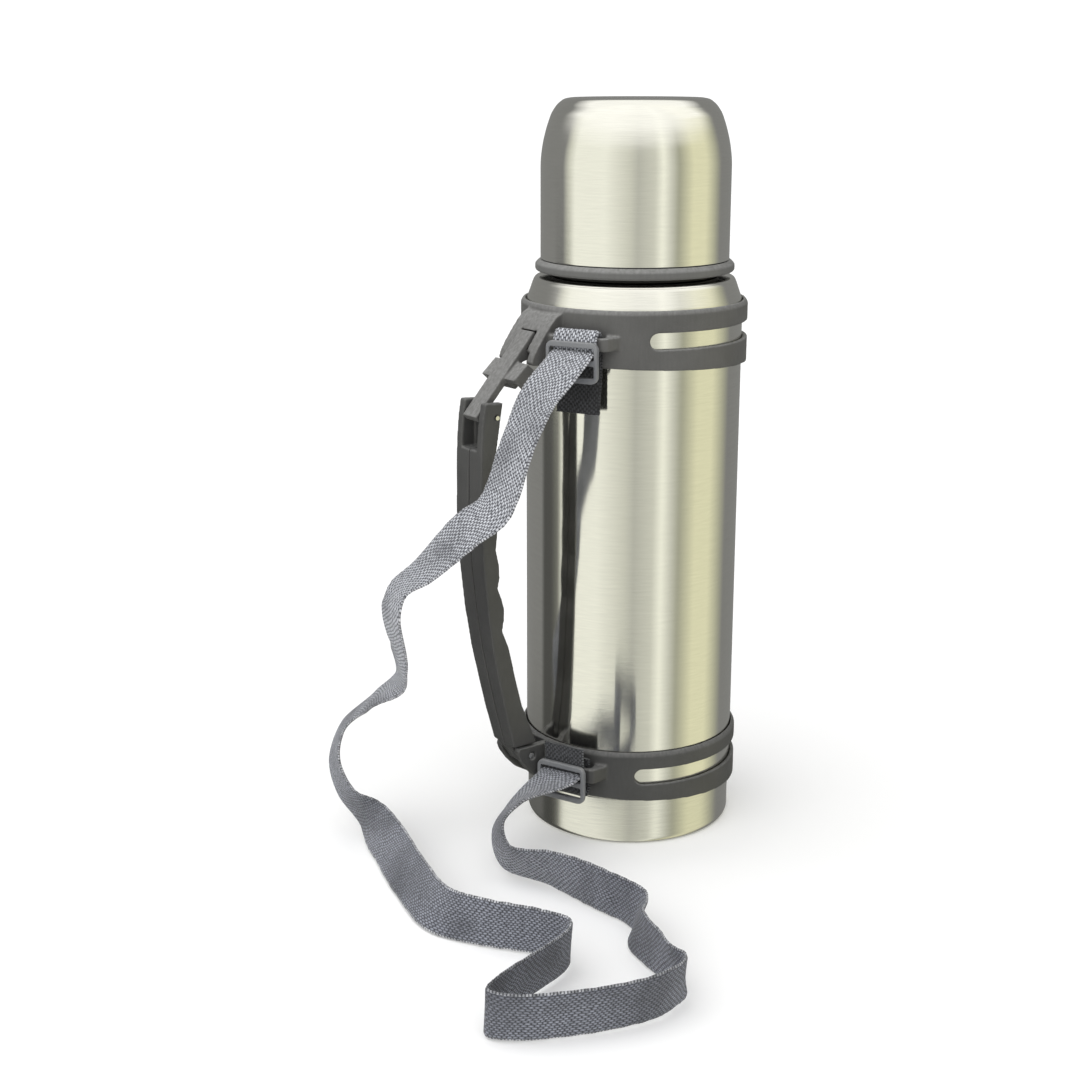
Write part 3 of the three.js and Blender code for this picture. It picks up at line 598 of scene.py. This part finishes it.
turned(
    "flask_wall",
    [
        (47, 21.4), (47, 236.2), (46.6, 237.8), (43.9, 245.4), (43.1, 246.7), (41.6, 247.2),
        (30.2, 247.2), (30.2, 262), (29.4, 262), (29.4, 246.4), (41.4, 246.4), (42.4, 246),
        (43.2, 244.8), (45.9, 237.4), (46.2, 236.2), (46.2, 21.4),
    ],
    STEEL_BODY, "flask", ["outer_shell", "shell_shoulder", "shell_neck"], 1.2,
)
turned(
    "base_pan",
    [
        (0, 2), (36, 2), (38, 0.02), (44.4, 0.02), (45.8, 0.6), (46.4, 2), (46.4, 21.1), (45.7, 21.1),
        (45.7, 2.3), (45.2, 1.2), (44.2, 0.7), (38.3, 0.7), (36.3, 2.7), (0, 2.7),
    ],
    STEEL_BASE, "flask", ["base_cap"], 0.5,
)
turned(
    "bottle_inside",
    [
        (0, 8), (38, 8), (41, 9.6), (42, 13), (42, 222), (41, 227), (36, 234), (30, 240),
        (28.2, 243.4), (28.2, 262.4), (30.2, 262.4), (30.2, 263.2), (27.4, 263.2), (27.4, 243),
        (29.3, 239.2), (35.2, 233.4), (40.2, 226.6), (41.2, 222), (41.2, 13.4), (40.4, 10.4),
        (37.7, 8.8), (0, 8.8),
    ],
    STEEL_INSIDE, "flask", ["inner_vessel", "vessel_shoulder"], 0.8, 96,
)
turned(
    "cup_wall",
    [
        (40.8, 254.4), (40.8, 296), (39.9, 303), (38.3, 309.5), (36.2, 315.5), (33.8, 319), (31, 321.2),
        (28, 321.8), (0, 322), (0, 321.2), (27.9, 321), (30.6, 320.4), (33.2, 318.3), (35.5, 315.1),
        (37.5, 309.3), (39.1, 302.9), (40, 296), (40, 254.4),
    ],
    STEEL_CUP, "cup", ["cup_shell"], 3.0,
)
turned(
    "cup_lining",
    [
        (39.6, 250.1), (39.6, 296), (38.7, 302.7), (37.1, 309.1), (35.1, 314.8), (32.9, 317.9),
        (30.4, 319.9), (0, 320.7), (0, 319.3), (29.8, 318.7), (31.9, 316.9), (33.8, 314),
        (35.7, 308.6), (37.3, 302.4), (38.1, 296), (38.1, 261), (36.9, 259.4), (36.9, 250.1),
    ],
    BLACK, "cup", ["cup_liner", "cup_liner_crown", "cup_liner_top"], 2.0, 96,
)
turned(
    "cup_foot_ring",
    [(39.9, 249.3), (42.3, 249.3), (43.1, 250.1), (43.1, 252.5), (41.4, 254.1), (39.9, 254.1)],
    RING, "cup", ["cup_ring"], 0.7,
)
turned(
    "neck_thread",
    [
        (30.5, 247.5), (36.1, 247.5), (36.1, 250.4), (36.6, 251), (36.6, 251.8), (36.1, 252.4),
        (36.1, 254), (36.6, 254.6), (36.6, 255.4), (36.1, 256), (35.2, 258.6), (30.5, 258.6),
    ],
    BLACK, "flask", ["neck_collar"], 0.3, 96,
)
eased("bottom_disc", "outer_bottom", STEEL_INSIDE, "flask")
eased("vacuum_seal_button", "vacuum_seal", STEEL_INSIDE, "flask")

# ---- stopper ----------------------------------------------------------------------------------

eased("stopper", "stopper_body", BLACK, "stopper")
eased("stopper_lower_seal", "stopper_gasket", SEAL, "stopper")
eased("stopper_rim_seal", "rim_gasket", SEAL, "stopper")
spring = eased("spring_coil", "button_spring", PIN_STEEL, "stopper", 60)
spring_low, spring_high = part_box("button_spring")
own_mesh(spring)
turned(
    "button",
    [(0, 281), (10.4, 281), (10.4, 277.4), (12, 277.4), (12, 285), (11, 286.2), (4, 286.6), (0, 286.4)],
    RING, "button", ["pour_button"], 0.6, 96,
)
eased("stem", "valve_stem", BLACK, "button")
eased("stem_seal", "valve_seal", SEAL, "button")

# ---- bands and handle -------------------------------------------------------------------------

moulding("band_upper", "upper_band", BAND_PAINTED_LIGHT, "flask", 0.5, 2, True)
moulding("band_lower", "lower_band", BAND, "flask", 0.5, 2, True)
moulding("grip_right", "grip_half_right", BAND, "grip", 0.42, 4)
moulding("grip_left", "grip_half_left", BAND, "grip", 0.42, 4)
moulding("link", "handle_link", BAND_PAINTED_LIGHT, "link", 0.36, 2)
for piece_name, node, body in (
    ("pin_link", "link_pin", "flask"),
    ("pin_lug", "lug_pin", "flask"),
    ("pin_grip", "grip_cross_pin", "grip"),
):
    eased(piece_name, node, PIN_STEEL, body)

# ---- studio -----------------------------------------------------------------------------------

PURE_WHITE = (1.0, 1.0, 1.0)
FLOOR_GAP = 0.2 * MM  # keeps the floor clear of the base
FLOOR_GLOW = 0.07


def studio_floor():
    bm = bmesh.new()
    bmesh.ops.create_grid(bm, x_segments=1, y_segments=1, size=3.0)
    mesh = bpy.data.meshes.new("floor")
    bm.to_mesh(mesh)
    bm.free()
    floor = bpy.data.objects.new("floor", mesh)
    bpy.context.scene.collection.objects.link(floor)
    floor.location.z = -FLOOR_GAP
    g = Graph("floor")
    tone = g.noise(3.0, 2.0)
    pale = g.mix(tone, rgb((0.93, 0.93, 0.93)), rgb((0.96, 0.96, 0.96)))
    look = {"Emission_Color": rgb(PURE_WHITE), "Emission_Strength": FLOOR_GLOW}
    mesh.materials.append(g.finish(Base_Color=pale, Roughness=0.9, **look))
    floor.visible_glossy = False


# What the steel reflects round the studio: a grey room with a white screen on the left, a strip light
# just right of the middle and a cream screen on the right. Each is a plain tone of light.
ROOM = (0.24, 0.24, 0.23)
WHITE_SCREEN = (1.0, 1.0, 0.88)
HALF_LIT = (0.7, 0.7, 0.6)
GAP = (0.55, 0.55, 0.48)
STRIP_LIGHT = (1.05, 1.05, 0.9)
SHADE = (0.42, 0.42, 0.32)
CREAM_SCREEN = (0.84, 0.82, 0.56)

# Where each tone stands, in degrees round the flask from the side that faces the camera.
PANELS = [
    (-90, ROOM),
    (-50, ROOM),
    (-45, HALF_LIT),
    (-40, WHITE_SCREEN),
    (-20, WHITE_SCREEN),
    (-5, HALF_LIT),
    (0, GAP),
    (10, HALF_LIT),
    (15, STRIP_LIGHT),
    (20, HALF_LIT),
    (25, SHADE),
    (35, CREAM_SCREEN),
    (45, CREAM_SCREEN),
    (55, SHADE),
    (60, ROOM),
]
AMBIENT = 0.5  # light from all round
BACKDROP = 1.1  # what the camera sees past the floor
CEILING = (1.25, 1.24, 1.17)  # over the steel, seen by the shoulder and the crown of the cup
# The mirrored ray's height where the ceiling starts and is full, and how much of it is seen.
CEILING_IN_FRONT = (0.26, 0.56, 0.85)
CEILING_ALL_ROUND = (0.6, 0.8, 0.9)
FRONT_EDGES = (50, 62)  # flask degrees over which the front of the ceiling fades out

# Dark cards low down on the left: flask degrees from, to and softness, heights of the mirrored ray
# where the card starts and is full, and how dark it is.
DARK_PATCHES = [((-56, -45, 3), (-0.11, -0.17), 0.8), ((-80, -50, 6), (-0.34, -0.4), 0.75)]
CARD = (0.05, 0.05, 0.045)
CARD_RIGHT_SOFTNESS = 3


def round_studio(degrees):
    """Where flask degrees fall in the mirrored ray's turn, from 0 to 1 round the studio."""
    return degrees / 180 + 0.5


def studio_light():
    """Light from all round, with screens and cards that only the gloss of a surface sees."""
    world = bpy.data.worlds.new("studio")
    bpy.context.scene.world = world
    world.use_nodes = True
    tree = world.node_tree
    tree.nodes.clear()

    def node(kind, **settings):
        made = tree.nodes.new(kind)
        for key, value in settings.items():
            setattr(made, key, value)
        return made

    def calc(operation, a, b=None):
        made = node("ShaderNodeMath", operation=operation)
        for socket, value in zip(made.inputs, (a, b)):
            if isinstance(value, bpy.types.NodeSocket):
                tree.links.new(value, socket)
            elif value is not None:
                socket.default_value = value
        return made.outputs[0]

    def fade(value, low, high, start, stop):
        made = node("ShaderNodeMapRange")
        tree.links.new(value, made.inputs["Value"])
        made.inputs["From Min"].default_value = start
        made.inputs["From Max"].default_value = stop
        made.inputs["To Min"].default_value = low
        made.inputs["To Max"].default_value = high
        return made.outputs["Result"]

    def blend(factor, colour, towards):
        made = node("ShaderNodeMix", data_type="RGBA")
        tree.links.new(factor, made.inputs["Factor"])
        tree.links.new(colour, made.inputs["A"])
        made.inputs["B"].default_value = rgb(towards)
        return made.outputs["Result"]

    way = node("ShaderNodeTexCoord").outputs["Generated"]
    parts = node("ShaderNodeSeparateXYZ")
    tree.links.new(way, parts.inputs[0])
    x, y, z = parts.outputs
    to_right = calc("ADD", calc("MULTIPLY", x, RIGHT.x), calc("MULTIPLY", y, RIGHT.y))
    to_back = calc("ADD", calc("MULTIPLY", x, -LOOK.x), calc("MULTIPLY", y, -LOOK.y))
    turn = calc("ADD", calc("DIVIDE", calc("ARCTAN2", to_right, to_back), 2 * math.pi), 0.5)
    ramp = node("ShaderNodeValToRGB")
    tree.links.new(turn, ramp.inputs[0])
    stops = ramp.color_ramp.elements
    stops.remove(stops[1])
    for i, (degrees, colour) in enumerate(PANELS):
        stop = stops.new(round_studio(degrees)) if i else stops[0]
        stop.color = rgb(colour)
    to_side = calc("ABSOLUTE", calc("SUBTRACT", turn, 0.5))
    in_front = fade(to_side, 1, 0, FRONT_EDGES[0] / 180, FRONT_EDGES[1] / 180)
    start, full, share = CEILING_IN_FRONT
    over_front = calc("MULTIPLY", fade(z, 0, share, start, full), in_front)
    start, full, share = CEILING_ALL_ROUND
    over = calc("MAXIMUM", over_front, fade(z, 0, share, start, full))
    lit = blend(over, ramp.outputs["Color"], CEILING)
    for (left, right, softness), (top, bottom), depth in DARK_PATCHES:
        from_left = fade(turn, 0, 1, round_studio(left - softness), round_studio(left))
        to_edge = fade(turn, 1, 0, round_studio(right), round_studio(right + CARD_RIGHT_SOFTNESS))
        across = calc("MULTIPLY", from_left, to_edge)
        low = fade(z, 1, 0, bottom, top)
        lit = blend(calc("MULTIPLY", across, calc("MULTIPLY", low, depth)), lit, CARD)
    panels = node("ShaderNodeBackground")
    tree.links.new(lit, panels.inputs["Color"])
    panels.inputs["Strength"].default_value = 1.0
    path = node("ShaderNodeLightPath")
    plain = node("ShaderNodeBackground")
    plain.inputs["Color"].default_value = rgb(PURE_WHITE)
    extra = calc("MULTIPLY", path.outputs["Is Camera Ray"], BACKDROP - AMBIENT)
    tree.links.new(calc("ADD", extra, AMBIENT), plain.inputs["Strength"])
    either = node("ShaderNodeMixShader")
    tree.links.new(path.outputs["Is Glossy Ray"], either.inputs[0])
    tree.links.new(plain.outputs[0], either.inputs[1])
    tree.links.new(panels.outputs[0], either.inputs[2])
    out = node("ShaderNodeOutputWorld")
    tree.links.new(either.outputs[0], out.inputs["Surface"])


def overhead(name, towards, spread, strength):
    data = bpy.data.lights.new(name, "SUN")
    data.angle = math.radians(spread)
    data.energy = strength
    lamp = bpy.data.objects.new(name, data)
    bpy.context.scene.collection.objects.link(lamp)
    lamp.rotation_euler = Vector(towards).to_track_quat("-Z", "Y").to_euler()
    lamp.visible_glossy = False


studio_floor()
studio_light()
KEY_WAY = LOOK * 0.45 + RIGHT * 0.4 + Vector((0, 0, -1))
KEY_SPREAD = 100  # degrees
KEY_STRENGTH = 2.3
overhead("key", KEY_WAY, KEY_SPREAD, KEY_STRENGTH)
